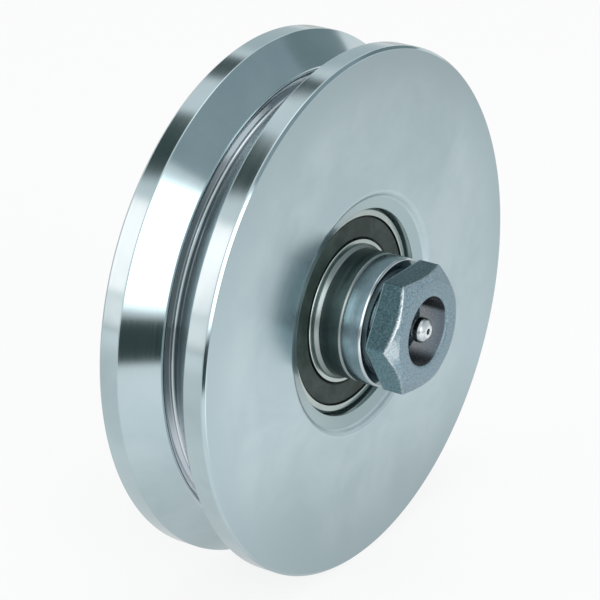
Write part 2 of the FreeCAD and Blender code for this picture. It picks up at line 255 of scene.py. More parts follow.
def makeLatheGroup():  # the tool's rings run round the axle, so they change with radius and length
    ringDrift = 0.0004  # metres that a ring wanders in a radian
    group, given, out = startGroup("latheRings", {"Ring Scale": 1500.0, "Cloud Scale": 40.0},
                                   ["Rings", "Clouds", "Radius", "Along"])
    links = group.links
    coords, x, y, z = objectPlace(group)
    radius = addMath(group, "SQRT", addMath(group, "ADD", product(group, x, x), product(group, z, z)))
    turn = addMath(group, "ABSOLUTE", addMath(group, "ARCTAN2", x, z))
    track = newNode(group, "ShaderNodeCombineXYZ")
    for value, socket in zip((radius, y, product(group, turn, ringDrift)), track.inputs):
        links.new(value, socket)
    rings = setInputs(newNode(group, "ShaderNodeTexNoise"), Detail=3.0, Roughness=0.65)
    clouds = setInputs(newNode(group, "ShaderNodeTexNoise"), Detail=4.0, Roughness=0.55, Distortion=0.4)
    for texture, vector, label in ((rings, track.outputs[0], "Ring Scale"), (clouds, coords, "Cloud Scale")):
        links.new(vector, texture.inputs["Vector"])
        links.new(given.outputs[label], texture.inputs["Scale"])
    results = {"Rings": rings.outputs["Fac"], "Clouds": clouds.outputs["Fac"], "Radius": radius, "Along": y}
    for label, value in results.items():
        links.new(value, out.inputs[label])
    return group


def makeGrainGroup():  # the dull crystalline grain of plated bar stock, with a few darker pits
    pitSpan = (0.12, 0.32)
    group, given, out = startGroup("platingGrain", {"Grain Scale": 2500.0, "Pit Scale": 900.0},
                                   ["Grain", "Pits"])
    links = group.links
    place = newNode(group, "ShaderNodeTexCoord")
    grain = setInputs(newNode(group, "ShaderNodeTexNoise"), Detail=4.0, Roughness=0.7)
    pits = newNode(group, "ShaderNodeTexVoronoi", feature="F1")
    for texture, label in ((grain, "Grain Scale"), (pits, "Pit Scale")):
        links.new(place.outputs["Object"], texture.inputs["Vector"])
        links.new(given.outputs[label], texture.inputs["Scale"])
    links.new(grain.outputs["Fac"], out.inputs["Grain"])
    links.new(remap(group, pits.outputs["Distance"], *pitSpan), out.inputs["Pits"])
    return group


def makeFacingGroup():  # tells the end faces, the chamfers and the sides of a turned or milled piece apart
    endSpan, sideSpan, endFray = (0.93, 0.985), (0.2, 0.5), 0.1  # of the normal's share along the axle
    group, given, out = startGroup("axleFacing", {"Break Up": 0.25}, ["End", "Slant", "Side", "Facing"])
    links = group.links
    place = newNode(group, "ShaderNodeTexCoord")
    split = newNode(group, "ShaderNodeSeparateXYZ")
    links.new(place.outputs["Normal"], split.inputs[0])
    facing = addMath(group, "ABSOLUTE", split.outputs["Y"])
    broken = setInputs(newNode(group, "ShaderNodeTexNoise"), Scale=650.0, Detail=3.0)
    links.new(place.outputs["Object"], broken.inputs["Vector"])
    uneven = addMath(group, "SUBTRACT", broken.outputs["Fac"], 0.5)
    fray = product(group, uneven, given.outputs["Break Up"])
    end = remap(group, addMath(group, "ADD", facing, product(group, fray, endFray)), *endSpan)
    side = fade(group, addMath(group, "ADD", facing, fray), sideSpan)
    slant = addMath(group, "SUBTRACT", addMath(group, "SUBTRACT", 1.0, end), side)
    for label, value in (("End", end), ("Slant", slant), ("Side", side), ("Facing", facing)):
        links.new(value, out.inputs[label])
    return group


latheRings = makeLatheGroup()
platingGrain = makeGrainGroup()
axleFacing = makeFacingGroup()


def placeGroup(tree, group, **values):
    node = newNode(tree, "ShaderNodeGroup", node_tree=group)
    for label, value in values.items():
        node.inputs[label.replace("_", " ")].default_value = value
    return node


def startMaterial(name, **fixed):
    material = bpy.data.materials.new(name)
    material.use_nodes = True
    tree = material.node_tree
    shader = tree.nodes["Principled BSDF"]
    for label, value in fixed.items():
        shader.inputs[label.replace("_", " ")].default_value = value
    return material, tree, shader


def mixColour(tree, factor, first, second):
    node = newNode(tree, "ShaderNodeMix", data_type="RGBA")
    tree.links.new(factor, node.inputs["Factor"])
    for socket, value in zip(node.inputs[6:8], (first, second)):  # the mix node's colour sockets
        if isinstance(value, tuple):
            socket.default_value = (*value, 1)
        else:
            tree.links.new(value, socket)
    return node.outputs[2]


def inBand(tree, value, low, high, soft):  # 1 between two values, easing to 0 outside them
    rise = remap(tree, value, low - soft, low + soft)
    return product(tree, rise, fade(tree, value, (high - soft, high + soft)))


def bumpFrom(tree, shader, height, strength, distance):
    bump = setInputs(newNode(tree, "ShaderNodeBump"), Strength=strength, Distance=distance)
    tree.links.new(height, bump.inputs["Height"])
    tree.links.new(bump.outputs["Normal"], shader.inputs["Normal"])


def roughFrom(tree, shader, value, span, rough, spread):
    tree.links.new(remap(tree, value, *span, rough - spread, rough + spread), shader.inputs["Roughness"])


def distanceFrom(tree, coords, place, stretch=1.0):
    centre = newNode(tree, "ShaderNodeMapping", vector_type="TEXTURE")
    setInputs(centre, Location=place, Scale=(stretch, 1, 1))
    tree.links.new(coords, centre.inputs["Vector"])
    away = newNode(tree, "ShaderNodeVectorMath", operation="LENGTH")
    tree.links.new(centre.outputs["Vector"], away.inputs[0])
    return away.outputs["Value"]


def runRoundAxle(tree, shader):  # the blur of a turned surface lies across the tool's rings
    tangent = newNode(tree, "ShaderNodeTangent", direction_type="RADIAL", axis="Y")
    tree.links.new(tangent.outputs[0], shader.inputs["Tangent"])


broadSpan, grainSpan, wideSpan = (0.3, 0.7), (0.38, 0.62), (0.25, 0.75)  # the share of a noise that is used

# lengths are in metres: a pair is where a fade starts and ends, three numbers are low, high and softness
wheelFinish = {
    "light": (0.50, 0.61, 0.64), "dark": (0.43, 0.54, 0.575), "dish": (0.37, 0.475, 0.495),
    # the slot's root colour and the bore's dark colour are painted shade, and the slot's pale colour is a
    # painted reflection
    "slot": (0.47, 0.53, 0.55), "root": (0.17, 0.2, 0.215), "slotReflection": (0.74, 0.78, 0.81),
    "boreShade": (0.17, 0.21, 0.22), "wall": (0.44, 0.52, 0.54),
    "dullRadius": (0.055, 0.069), "dullAlong": (0.0157, 0.0159), "faceAlong": (0.0156, 0.0159),
    "dishAlong": (0.0135, 0.0148, 0.0001), "dishRadius": (0.0306, 0.0314),
    "stepRadius": (0.0306, 0.0324, 0.0003), "slotAlong": (0.002, 0.0024), "slotRadius": (0.05, 0.055),
    "slotMouth": (0.0021, 0.0024), "rootAlong": (0.0011, 0.0014), "rootRadius": (0.0591, 0.0593),
    "reflectionLow": (-0.022, 0.0), "reflectionHigh": (0.036, 0.053), "reflectionAbove": 0.4,
    "boreRadius": (0.0278, 0.028), "boreAlong": (0.0137, 0.0138), "boreShadeAlong": (0.0125, 0.0129),
    "slotRough": 0.07, "rimRough": 0.14, "faceRough": 0.185, "stepRough": 0.34, "dishRough": 0.24,
    "roughSpread": 0.06, "anisotropy": 0.62, "ringBump": 0.05,
}


def makeWheelZinc(spec):
    material, tree, shader = startMaterial("turnedZinc", Metallic=1.0, Anisotropic=spec["anisotropy"],
                                           Anisotropic_Rotation=0.25)
    rings = placeGroup(tree, latheRings, Ring_Scale=1100.0, Cloud_Scale=38.0)
    radius, along = rings.outputs["Radius"], addMath(tree, "ABSOLUTE", rings.outputs["Along"])
    height = objectPlace(tree)[3]
    dull = product(tree, remap(tree, radius, *spec["dullRadius"]), remap(tree, along, *spec["dullAlong"]))
    dish = product(tree, inBand(tree, along, *spec["dishAlong"]), fade(tree, radius, spec["dishRadius"]))
    slot = product(tree, fade(tree, along, spec["slotAlong"]), remap(tree, radius, *spec["slotRadius"]))
    root = product(tree, slot, fade(tree, along, spec["rootAlong"]), fade(tree, radius, spec["rootRadius"]))
    # painted reflection: the slot is painted pale low down on the wheel and partly near its top
    reflectedSlot = addMath(tree, "ADD", fade(tree, height, spec["reflectionLow"]),
                    remap(tree, height, *spec["reflectionHigh"], 0.0, spec["reflectionAbove"]))
    bore = product(tree, fade(tree, radius, spec["boreRadius"]), fade(tree, along, spec["boreAlong"]))
    # painted shade: the bore's wall turns dark towards the bearing
    wall = mixColour(tree, remap(tree, along, *spec["boreShadeAlong"]), spec["boreShade"], spec["wall"])
    tint = mixColour(tree, remap(tree, rings.outputs["Clouds"], *broadSpan), spec["dark"], spec["light"])
    layers = [  # painted shade: the slot's root and the bore's wall near the bearing are dark, and the slot is painted pale low down on the wheel and a little near its top as a painted reflection
        (dull, spec["dark"]), (dish, spec["dish"]), (slot, spec["slot"]), (root, spec["root"]),
        (product(tree, slot, reflectedSlot), spec["slotReflection"]), (bore, wall),
    ]
    for mask, colour in layers:
        tint = mixColour(tree, mask, tint, colour)
    tree.links.new(tint, shader.inputs["Base Color"])
    rough = remap(tree, along, *spec["slotMouth"], spec["slotRough"], spec["rimRough"])
    patches = [
        remap(tree, along, *spec["faceAlong"], 0.0, spec["faceRough"]),
        product(tree, inBand(tree, radius, *spec["stepRadius"]), spec["stepRough"]),
        product(tree, dish, spec["dishRough"]),
    ]
    for patch in patches:
        rough = addMath(tree, "MAXIMUM", rough, patch)
    spread = product(tree, addMath(tree, "SUBTRACT", rings.outputs["Rings"], 0.5), spec["roughSpread"])
    tree.links.new(addMath(tree, "ADD", rough, spread), shader.inputs["Roughness"])
    bumpFrom(tree, shader, rings.outputs["Rings"], strength=spec["ringBump"], distance=0.00005)
    runRoundAxle(tree, shader)
    return material


def makeTurnedSteel(name, light, dark, edge, rough, roughSpread, ringScale, end=None):
    material, tree, shader = startMaterial(name, Metallic=1.0, Anisotropic=0.5, Anisotropic_Rotation=0.25)
    rings = placeGroup(tree, latheRings, Ring_Scale=ringScale, Cloud_Scale=120.0)
    facing = placeGroup(tree, axleFacing)
    tint = mixColour(tree, remap(tree, rings.outputs["Clouds"], *broadSpan), dark, light)
    tint = mixColour(tree, facing.outputs["Slant"], tint, edge)
    tint = mixColour(tree, facing.outputs["End"], tint, end or tint)
    tree.links.new(tint, shader.inputs["Base Color"])
    roughFrom(tree, shader, rings.outputs["Rings"], broadSpan, rough, roughSpread)
    bumpFrom(tree, shader, rings.outputs["Rings"], strength=0.08, distance=0.00004)
    runRoundAxle(tree, shader)
    return material


def makePlatedSteel(name, light, dark, edge, rough, grainScale, grainBump, side=None):
    pitShare = 0.4  # of the grain's scale
    material, tree, shader = startMaterial(name, Metallic=1.0)
    grain = placeGroup(tree, platingGrain, Grain_Scale=grainScale, Pit_Scale=grainScale * pitShare)
    facing = placeGroup(tree, axleFacing)
    tint = mixColour(tree, remap(tree, grain.outputs["Grain"], *grainSpan), dark, light)
    tint = mixColour(tree, facing.outputs["Slant"], tint, edge)
    tint = mixColour(tree, facing.outputs["Side"], tint, side or tint)
    tree.links.new(tint, shader.inputs["Base Color"])
    roughFrom(tree, shader, grain.outputs["Grain"], wideSpan, rough, spread=0.08)
    pitted = product(tree, grain.outputs["Grain"], grain.outputs["Pits"])
    bumpFrom(tree, shader, pitted, strength=grainBump, distance=0.00006)
    return material


headFinish = {
    # painted light in this finish: the pale edge colour and the corner colour are painted highlights, the
    # lower flats' colours are painted light, and the counterbore's pale depths and its dark top and bottom
    # are painted light and shade
    "light": (0.315, 0.425, 0.485), "dark": (0.165, 0.25, 0.3), "edge": (0.72, 0.78, 0.8),
    "sideLight": (0.165, 0.245, 0.268), "sideDark": (0.077, 0.125, 0.14),
    "litLowLight": (0.33, 0.47, 0.52), "litLowDark": (0.155, 0.24, 0.27),
    "shankLight": (0.4, 0.47, 0.49), "shankDark": (0.26, 0.32, 0.34),
    "seatEdge": (0.4, 0.5, 0.53), "cornerHighlight": (0.5, 0.57, 0.6),
    "inside": (0.28, 0.345, 0.41), "litDepths": (0.85, 0.87, 0.9), "wellShade": (0.04, 0.045, 0.05),
    "face": 0.0135, "front": -0.0355, "headAlong": (-0.0274, -0.0272),
    "seatAlong": (-0.0278, -0.0272, 0.0002), "lowFlats": (-0.0005, 0.0005),
    "highlightHeight": (-0.004, 0.0138, 0.0012), "highlightElsewhere": 0.3,
    "edgeDepth": (0.0003, 0.0008), "edgeFacing": (0.8, 0.86), "highlightGrain": (0.36, 0.6), "highlightLeast": 0.25,
    "cornerHighlightPlace": (-0.0158, -0.0342, 0.0), "cornerHighlightReach": (0.0016, 0.0048), "cornerHighlightFacing": (0.5, 0.94, 0.04),
    "wellRadius": (0.0091, 0.0092), "wellMouth": (-0.0352, -0.0351), "wellDepth": (-0.0351, -0.0265),
    "litWellHeight": (-0.0081, 0.0024, 0.0009), "insideGloss": 0.2, "insideMetal": 0.25,
    "rough": 0.38, "roughSpread": 0.1, "sideSmooth": 0.14, "shankSmooth": 0.12,
    "grainScale": 2000.0, "pitShare": 0.5, "grainBump": 0.4,
}


def makeHeadZinc(spec):
    material, tree, shader = startMaterial("grainyHeadZinc", Specular_IOR_Level=spec["insideGloss"])
    grained = placeGroup(tree, platingGrain, Grain_Scale=spec["grainScale"],
                         Pit_Scale=spec["grainScale"] * spec["pitShare"])
    place = placeGroup(tree, latheRings, Ring_Scale=900.0, Cloud_Scale=150.0)
    sides = placeGroup(tree, axleFacing, Break_Up=0.35)
    grain, side, facing = grained.outputs["Grain"], sides.outputs["Side"], sides.outputs["Facing"]
    radius, along = place.outputs["Radius"], place.outputs["Along"]
    coords, *_, height = objectPlace(tree)
    speckle = remap(tree, grain, *grainSpan)
    head = fade(tree, along, spec["headAlong"])
    tint = mixColour(tree, speckle, spec["dark"], spec["light"])
    upper = remap(tree, height, *spec["lowFlats"])  # painted light: the lower flats are painted paler than the upper ones
    sideDark = mixColour(tree, upper, spec["litLowDark"], spec["sideDark"])
    sideLight = mixColour(tree, upper, spec["litLowLight"], spec["sideLight"])
    tint = mixColour(tree, side, tint, mixColour(tree, speckle, sideDark, sideLight))
    seat = product(tree, inBand(tree, along, *spec["seatAlong"]), side)
    tint = mixColour(tree, seat, tint, spec["seatEdge"])
    # painted highlight: the front edges of the flats are painted pale, full across a band of height in the
    # middle and weaker above and below it, speckled by the grain
    highlightBand = remap(tree, inBand(tree, height, *spec["highlightHeight"]), 0.0, 1.0, spec["highlightElsewhere"])
    highlightSpeckle = product(tree, remap(tree, grain, *spec["highlightGrain"], spec["highlightLeast"], 1.0), highlightBand)
    cone = product(tree, addMath(tree, "SUBTRACT", radius, spec["face"]), chamferSlope)
    belowEdge = addMath(tree, "SUBTRACT", addMath(tree, "SUBTRACT", along, spec["front"]), cone)
    highlightStrip = product(tree, fade(tree, belowEdge, spec["edgeDepth"]), fade(tree, facing, spec["edgeFacing"]))
    tint = mixColour(tree, product(tree, highlightStrip, highlightSpeckle), tint, spec["edge"])
    # painted highlight: a pale spot on the chamfer at the head's left corner
    cornerHighlightMask = product(tree, fade(tree, distanceFrom(tree, coords, spec["cornerHighlightPlace"]), spec["cornerHighlightReach"]),
                      inBand(tree, facing, *spec["cornerHighlightFacing"]))
    tint = mixColour(tree, product(tree, cornerHighlightMask, highlightSpeckle), tint, spec["cornerHighlight"])
    # painted light and shade in the counterbore: its wall runs from the mouth colour to a pale colour deep
    # inside, where light is painted, and is painted dark as shade above and below a band of height
    inside = product(tree, head, fade(tree, radius, spec["wellRadius"]),
                     remap(tree, along, *spec["wellMouth"]))
    well = mixColour(tree, remap(tree, along, *spec["wellDepth"]), spec["inside"], spec["litDepths"])
    well = mixColour(tree, inBand(tree, height, *spec["litWellHeight"]), spec["wellShade"], well)
    tint = mixColour(tree, inside, tint, well)
    turned = mixColour(tree, place.outputs["Rings"], spec["shankDark"], spec["shankLight"])
    tint = mixColour(tree, head, turned, tint)  # only the head has the grain, the rest is turned bar
    tree.links.new(tint, shader.inputs["Base Color"])
    metal = remap(tree, inside, 0.0, 1.0, 1.0, spec["insideMetal"])  # dull with old grease inside
    tree.links.new(metal, shader.inputs["Metallic"])
    rough = remap(tree, grain, *wideSpan, spec["rough"] - spec["roughSpread"],
                  spec["rough"] + spec["roughSpread"])
    smoother = addMath(tree, "MAXIMUM", product(tree, side, spec["sideSmooth"]),
                       product(tree, addMath(tree, "SUBTRACT", 1.0, head), spec["shankSmooth"]))
    tree.links.new(addMath(tree, "SUBTRACT", rough, smoother), shader.inputs["Roughness"])
    pitted = product(tree, grain, grained.outputs["Pits"], head)
    bumpFrom(tree, shader, pitted, strength=spec["grainBump"], distance=0.00008)
    return material


def makeRubber(name, light, dark, edge, rough):
    mottleSpan = (0.4, 0.6)
    material, tree, shader = startMaterial(name, Specular_IOR_Level=0.4)
    grain = placeGroup(tree, platingGrain, Grain_Scale=3200.0, Pit_Scale=1500.0).outputs["Grain"]
    rings = placeGroup(tree, latheRings, Ring_Scale=2200.0, Cloud_Scale=160.0)
    facing = placeGroup(tree, axleFacing)
    mottle = product(tree, addMath(tree, "ADD", rings.outputs["Clouds"], grain), 0.5)
    tint = mixColour(tree, remap(tree, mottle, *mottleSpan), dark, light)
    tint = mixColour(tree, facing.outputs["Slant"], tint, edge)
    tree.links.new(tint, shader.inputs["Base Color"])
    roughFrom(tree, shader, grain, wideSpan, rough, spread=0.1)
    bumpFrom(tree, shader, grain, strength=0.25, distance=0.00004)
    return material


turnedZinc = makeWheelZinc(wheelFinish)
bearingSteel = makeTurnedSteel(
    "groundBearingSteel", light=(0.46, 0.53, 0.51), dark=(0.38, 0.45, 0.43), edge=(0.5, 0.57, 0.55),
    rough=0.2, roughSpread=0.04, ringScale=3500.0)
bushSteel = makeTurnedSteel(
    "dullBushSteel", light=(0.19, 0.26, 0.26), dark=(0.12, 0.175, 0.175), edge=(0.28, 0.325, 0.325),
    rough=0.36, roughSpread=0.06, ringScale=1800.0)
# painted shade: the washers' end faces are painted darker than their rims, as shade between the head and the
# bush
washerSteel = makeTurnedSteel(
    "washerZinc", light=(0.43, 0.51, 0.545), dark=(0.29, 0.36, 0.39), edge=(0.48, 0.54, 0.56),
    rough=0.16, roughSpread=0.04, ringScale=1600.0, end=(0.22, 0.28, 0.3))
headSteel = makeHeadZinc(headFinish)
fastenerSteel = makePlatedSteel(
    "dullNutZinc", light=(0.35, 0.44, 0.475), dark=(0.21, 0.285, 0.32), edge=(0.44, 0.53, 0.565),
    rough=0.38, grainScale=2000.0, grainBump=0.35)
# painted shade: the nipple's sides are painted dark, as shade inside the counterbore
nippleSteel = makePlatedSteel(
    "nippleZinc", light=(0.93, 0.97, 0.98), dark=(0.6, 0.66, 0.68), edge=(0.52, 0.57, 0.59),
    rough=0.3, grainScale=1800.0, grainBump=0.4, side=(0.14, 0.175, 0.185))
springSteel = makePlatedSteel(
    "springWire", light=(0.34, 0.35, 0.35), dark=(0.24, 0.25, 0.25), edge=(0.5, 0.52, 0.52),
    rough=0.32, grainScale=4000.0, grainBump=0.15)
sealRubber = makeRubber(
    "sealRubber", light=(0.04, 0.064, 0.056), dark=(0.01, 0.024, 0.02), edge=(0.008, 0.016, 0.014),
    rough=0.55)
cagePlastic = makeRubber(
    "cagePlastic", light=(0.72, 0.68, 0.56), dark=(0.64, 0.6, 0.48), edge=(0.66, 0.62, 0.5), rough=0.42)
print("materials made:", len(bpy.data.materials))


# wheel

wheelSize = {
    "rim": 70.0, "half": 16.0, "rimChamfer": 0.8, "mouthHalf": 10.0, "slotHalf": 2.0, "slotDepth": 3.5,
    "slotRound": 0.6, "slotEdge": 1.6, "slotCrown": 0.5, "dishRound": 2.3,
    "seat": 27.51, "dishWidth": 4.6, "dishDepth": 2.2, "stepWidth": 1.15, "stepDepth": 1.15,
    "shoulderHalf": 3.0, "shoulderHeight": 3.5,
    "steps": 256, "edge": 0.2,
}


def buildWheel(size):
    slotTop = size["rim"] - (size["mouthHalf"] - size["slotHalf"])
    dishEdge = size["seat"] + size["dishWidth"]
    slotFloor = slotTop - size["slotDepth"]
    half = [
        (slotFloor, size["slotHalf"], size["slotRound"]),
        (slotTop, size["slotHalf"], size["slotEdge"]),
        (size["rim"], size["mouthHalf"]),
        (size["rim"], size["half"] - size["rimChamfer"]),
        (size["rim"] - size["rimChamfer"], size["half"]),
        (dishEdge, size["half"], size["dishRound"]),
        (dishEdge - size["stepWidth"], size["half"] - size["stepDepth"], size["dishRound"]),
        (size["seat"], size["half"] - size["dishDepth"]),
        (size["seat"], size["shoulderHalf"]),
        (size["seat"] - size["shoulderHeight"], size["shoulderHalf"]),
    ]
    section = half + [(radius, -along, *ease) for radius, along, *ease in reversed(half)]
    section.append((slotFloor + size["slotCrown"], 0))  # the root rises a little between its corners
    wheel = turnPiece("wheel_turned", section, size["steps"], size["edge"])
    dress(wheel, "wheel_set", "wheel", turnedZinc)


buildWheel(wheelSize)
print("wheel turned")


# bearings, modelled for the front and copied to the rear

bearingSize = {
    "bore": 15.0, "outer": 27.5, "middle": -7.5, "half": 4.5, "chamfer": 0.8,
    "pitch": 21.25, "raceRadius": 3.05, "innerLand": 19.04, "outerLand": 23.46,
    "sealSeat": 25.2, "sealFloor": 3.3, "sealRecess": 0.3, "sealThick": 0.9, "sealLip": 19.14,
    "sealEdge": 0.5, "sealFit": 0.01,
    "steps": 192, "edges": {"outer_ring": 0.14, "inner_ring": 0.3, "seal": 0.2},
}


def racePoints(size, land, count=9):  # the groove's arc between its two edges on a land
    rise = math.acos(abs(land - size["pitch"]) / size["raceRadius"])
    side = math.copysign(1, land - size["pitch"])
    angles = [rise * (1 - 2 * i / (count - 1)) for i in range(count)]
    return [(size["pitch"] + side * size["raceRadius"] * math.cos(a), size["raceRadius"] * math.sin(a))
            for a in angles]


def buildBearing(size):
    outer, half, chamfer = size["outer"], size["half"], size["chamfer"]
    bore, middle = size["bore"], size["middle"]
    sealOutside = size["sealSeat"] - size["sealFit"]
    sealFront = -half + size["sealRecess"]
    sections = {
        "outer_ring": [
            (size["sealSeat"], -half), (outer - chamfer, -half), (outer, chamfer - half),
            (outer, half - chamfer), (outer - chamfer, half), (size["outerLand"], half),
            *racePoints(size, size["outerLand"]),
            (size["outerLand"], -size["sealFloor"]), (size["sealSeat"], -size["sealFloor"]),
        ],
        "inner_ring": [
            (bore, chamfer - half), (bore + chamfer, -half), (size["innerLand"], -half),
            *reversed(racePoints(size, size["innerLand"])),
            (size["innerLand"], half), (bore + chamfer, half), (bore, half - chamfer),
        ],
        "seal": [
            (size["sealLip"], sealFront + size["sealEdge"]), (size["sealLip"] + size["sealEdge"], sealFront),
            (sealOutside - size["sealEdge"], sealFront), (sealOutside, sealFront + size["sealEdge"]),
            (sealOutside, sealFront + size["sealThick"]), (size["sealLip"], sealFront + size["sealThick"]),
        ],
    }
    fittings = {
        "outer_ring": ("wheel_set", "bearing_steel", bearingSteel),
        "inner_ring": ("axle_set", "bearing_steel", bearingSteel),
        "seal": ("wheel_set", "seal_rubber", sealRubber),
    }
    for name, section in sections.items():
        placed = [(radius, along + middle) for radius, along in section]
        front = turnPiece(f"front_{name}_ground", placed, size["steps"], size["edges"][name])
        rear = copyToRear(front, f"rear_{name}_ground")
        body, slotName, material = fittings[name]
        dress(front, body, f"front_{name}", material)
        dress(rear, body, f"rear_{name}", material)


buildBearing(bearingSize)
print("bearings turned")


# bushes and washers

bushSize = {
    "bore": 12.55, "flange": 17.0, "collar": 17.9, "collarLength": 0.5, "spigot": 14.99, "face": -12.0,
    "end": -19.75, "chamfer": 0.5, "steps": 160, "edge": 0.14,
}
washerSize = {
    "front": {"bore": 12.55, "edge": 17.0, "start": -25.7, "end": -19.75, "slot": "washer_steel"},
    "rear": {"bore": 10.05, "edge": 18.5, "start": 19.75, "end": 22.75, "slot": "fastener_steel"},
    "chamfer": 0.45, "round": 0.16, "steps": 160,
}
lockSize = {
    "bore": 10.05, "outside": 16.8, "start": 22.75, "end": 26.75, "steps": 160, "edge": 0.35,
    "split": 2.0, "lean": 2.0, "bladePlace": 13.0, "bladeReach": 16.0, "bladeDepth": 6.0,
}


def buildBushes(size):
    flange, collar = size["flange"], size["collar"]
    collarEnd = size["face"] - size["collarLength"]
    section = [
        (size["bore"], size["end"]), (flange - size["chamfer"], size["end"]),
        (flange, size["end"] + size["chamfer"]), (flange, collarEnd - collar + flange),
        (collar, collarEnd), (collar, size["face"]), (size["spigot"], size["face"]),
        (size["spigot"], 0), (size["bore"], 0),
    ]
    front = turnPiece("front_bush_turned", section, size["steps"], size["edge"])
    rear = copyToRear(front, "rear_bush_turned")
    dress(front, "axle_set", "front_bush", bushSteel)
    dress(rear, "axle_set", "rear_bush", bushSteel)


def buildWashers(size):
    chamfer = size["chamfer"]
    for side in ("front", "rear"):
        ring = size[side]
        section = [
            (ring["bore"], ring["start"]), (ring["edge"] - chamfer, ring["start"]),
            (ring["edge"], ring["start"] + chamfer), (ring["edge"], ring["end"] - chamfer),
            (ring["edge"] - chamfer, ring["end"]), (ring["bore"], ring["end"]),
        ]
        washer = turnPiece(f"{side}_washer_turned", section, size["steps"], size["round"])
        dress(washer, "axle_set", f"{side}_washer", washerSteel)


def buildLockWasher(size):
    ring = spinSection("lock_washer_sprung", [
        (size["bore"], size["start"]), (size["outside"], size["start"]),
        (size["outside"], size["end"]), (size["bore"], size["end"]),
    ], size["steps"])
    clearSelection()
    middle, depth = (size["start"] + size["end"]) / 2, size["end"] - size["start"]
    bpy.ops.mesh.primitive_cube_add(size=1, location=(0, middle * mm, size["bladePlace"] * mm))
    blade = bpy.context.object
    blade.scale = Vector((size["split"], size["bladeDepth"], size["bladeReach"])) * mm
    bpy.ops.object.transform_apply(location=True, rotation=True, scale=True)
    for vertex in blade.data.vertices:  # lean the blade across the ring
        vertex.co.x += (vertex.co.y / mm - middle) / depth * 2 * size["lean"] * mm
    applyModifier(ring, "BOOLEAN", object=blade, operation="DIFFERENCE", solver="EXACT")
    bpy.data.objects.remove(blade, do_unlink=True)
    roundEdges(ring, size["edge"])
    smoothFlats(ring)
    dress(ring, "axle_set", "lock_washer", springSteel)


buildBushes(bushSize)
buildWashers(washerSize)
buildLockWasher(lockSize)
print("bushes and washers turned")


# axle bolt, nut and grease nipple

boltSize = {
    "flats": 30.0, "turn": 1.0, "face": 13.5, "headFront": -35.5, "headSeat": -27.3, "washerEnd": -25.7,
    "shank": 12.5, "shankEnd": 19.25, "counterbore": 9.0, "mouth": 0.5, "boreFloor": -25.5, "nippleHole": 3.0,
    "holeEnd": -18.5, "steps": 240, "edge": 0.45,
}
threadSize = {
    "radius": 10.0, "pitch": 2.5, "depth": 1.35, "start": 37.0, "end": 44.75, "pilot": 8.0,
    "pilotStart": 46.75, "stud": 54.75, "chamfer": 1.0, "cuts": 76, "coneCuts": 16, "cutMargin": 0.1,
    "startMargin": 0.05, "endMargin": 0.3, "runIn": 0.8, "crestShare": 0.12, "flankShare": 0.7,
}
nutSize = {
    "flats": 30.0, "face": 13.5, "start": 26.75, "end": 42.75, "bore": 10.05, "mouth": 0.5, "edge": 0.22,
    "steps": 240,
}
nippleSize = {
    "flats": 8.0, "face": 3.75, "floor": -25.5, "hexTop": -28.5, "end": -20.0, "thread": 2.99, "neck": 2.2,
    "neckStart": -29.29, "neckEnd": -31.55, "shoulder": -32.6, "head": 3.25, "crown": -33.95, "tip": 1.7,
    "front": -35.5, "inlet": 0.75, "seat": -34.8, "bore": 1.6, "foot": -21.0, "footBore": 1.0, "edge": 0.12,
    "crownFall": 0.45, "crownRise": 0.75, "steps": 120,
}
springSize = {
    "coil": 1.2, "wire": 0.2, "top": -32.905, "foot": -21.22, "turns": 4, "steps": 40, "give": 0.83,
    "wireSides": 12, "smoothAngle": 50,
}


def buildBolt(size, thread):
    corner, face, front = size["flats"] / math.sqrt(3), size["face"], size["headFront"]
    counterbore, mouth, pilot = size["counterbore"], size["mouth"], thread["pilot"]
    threaded, stud, chamfer = thread["radius"], thread["stud"], thread["chamfer"]
    bolt = spinSection("axle_bolt_turned", [
        (0, size["holeEnd"]), (size["nippleHole"], size["holeEnd"]), (size["nippleHole"], size["boreFloor"]),
        (counterbore, size["boreFloor"]), (counterbore, front + mouth), (counterbore + mouth, front),
        (face, front), (corner, front + chamferFall(corner, face)), (corner, size["headSeat"]),
        (face, size["headSeat"]), (face, size["washerEnd"]), (size["shank"], size["washerEnd"]),
        (size["shank"], size["shankEnd"]), (threaded, size["shankEnd"]), (threaded, thread["start"]),
        (threaded, thread["end"]), (pilot, thread["pilotStart"]), (pilot, stud - chamfer),
        (pilot - chamfer, stud), (0, stud),
    ], size["steps"])
    pressHexagon(bolt, size["flats"], face, [(front, 1)])
    roundEdges(bolt, size["edge"])
    rollThread(bolt, thread)
    bolt.rotation_euler = (0, -math.radians(size["turn"]), 0)
    bpy.ops.object.transform_apply(location=True, rotation=True, scale=True)
    smoothFlats(bolt)
    dress(bolt, "axle_set", "axle_bolt", headSteel)


def rollThread(bolt, thread):  # the turns that stand behind the nut, running out on the cone
    start, end, coneEnd, margin = thread["start"], thread["end"], thread["pilotStart"], thread["cutMargin"]
    cutRows(bolt, start - margin, end + margin, thread["cuts"])
    cutRows(bolt, end - margin, coneEnd + margin, thread["coneCuts"])
    first, last = start + thread["startMargin"], coneEnd - thread["endMargin"]
    for vertex in bolt.data.vertices:
        x, along, z = vertex.co / mm
        radius = math.hypot(x, z)
        if radius < thread["pilot"] or not first < along < last:
            continue
        phase = (along / thread["pitch"] + math.atan2(z, x) / (2 * math.pi)) % 1
        fromCrest = abs(phase - 0.5) * 2 - thread["crestShare"]
        flank = min(1, max(0, fromCrest / thread["flankShare"]))  # narrow crest, flat root
        cut = thread["depth"] * flank * min(1, (along - start) / thread["runIn"])
        wanted = max(thread["pilot"], min(radius, thread["radius"] - cut))
        vertex.co.x *= wanted / radius
        vertex.co.z *= wanted / radius
    pickOnly(bolt)


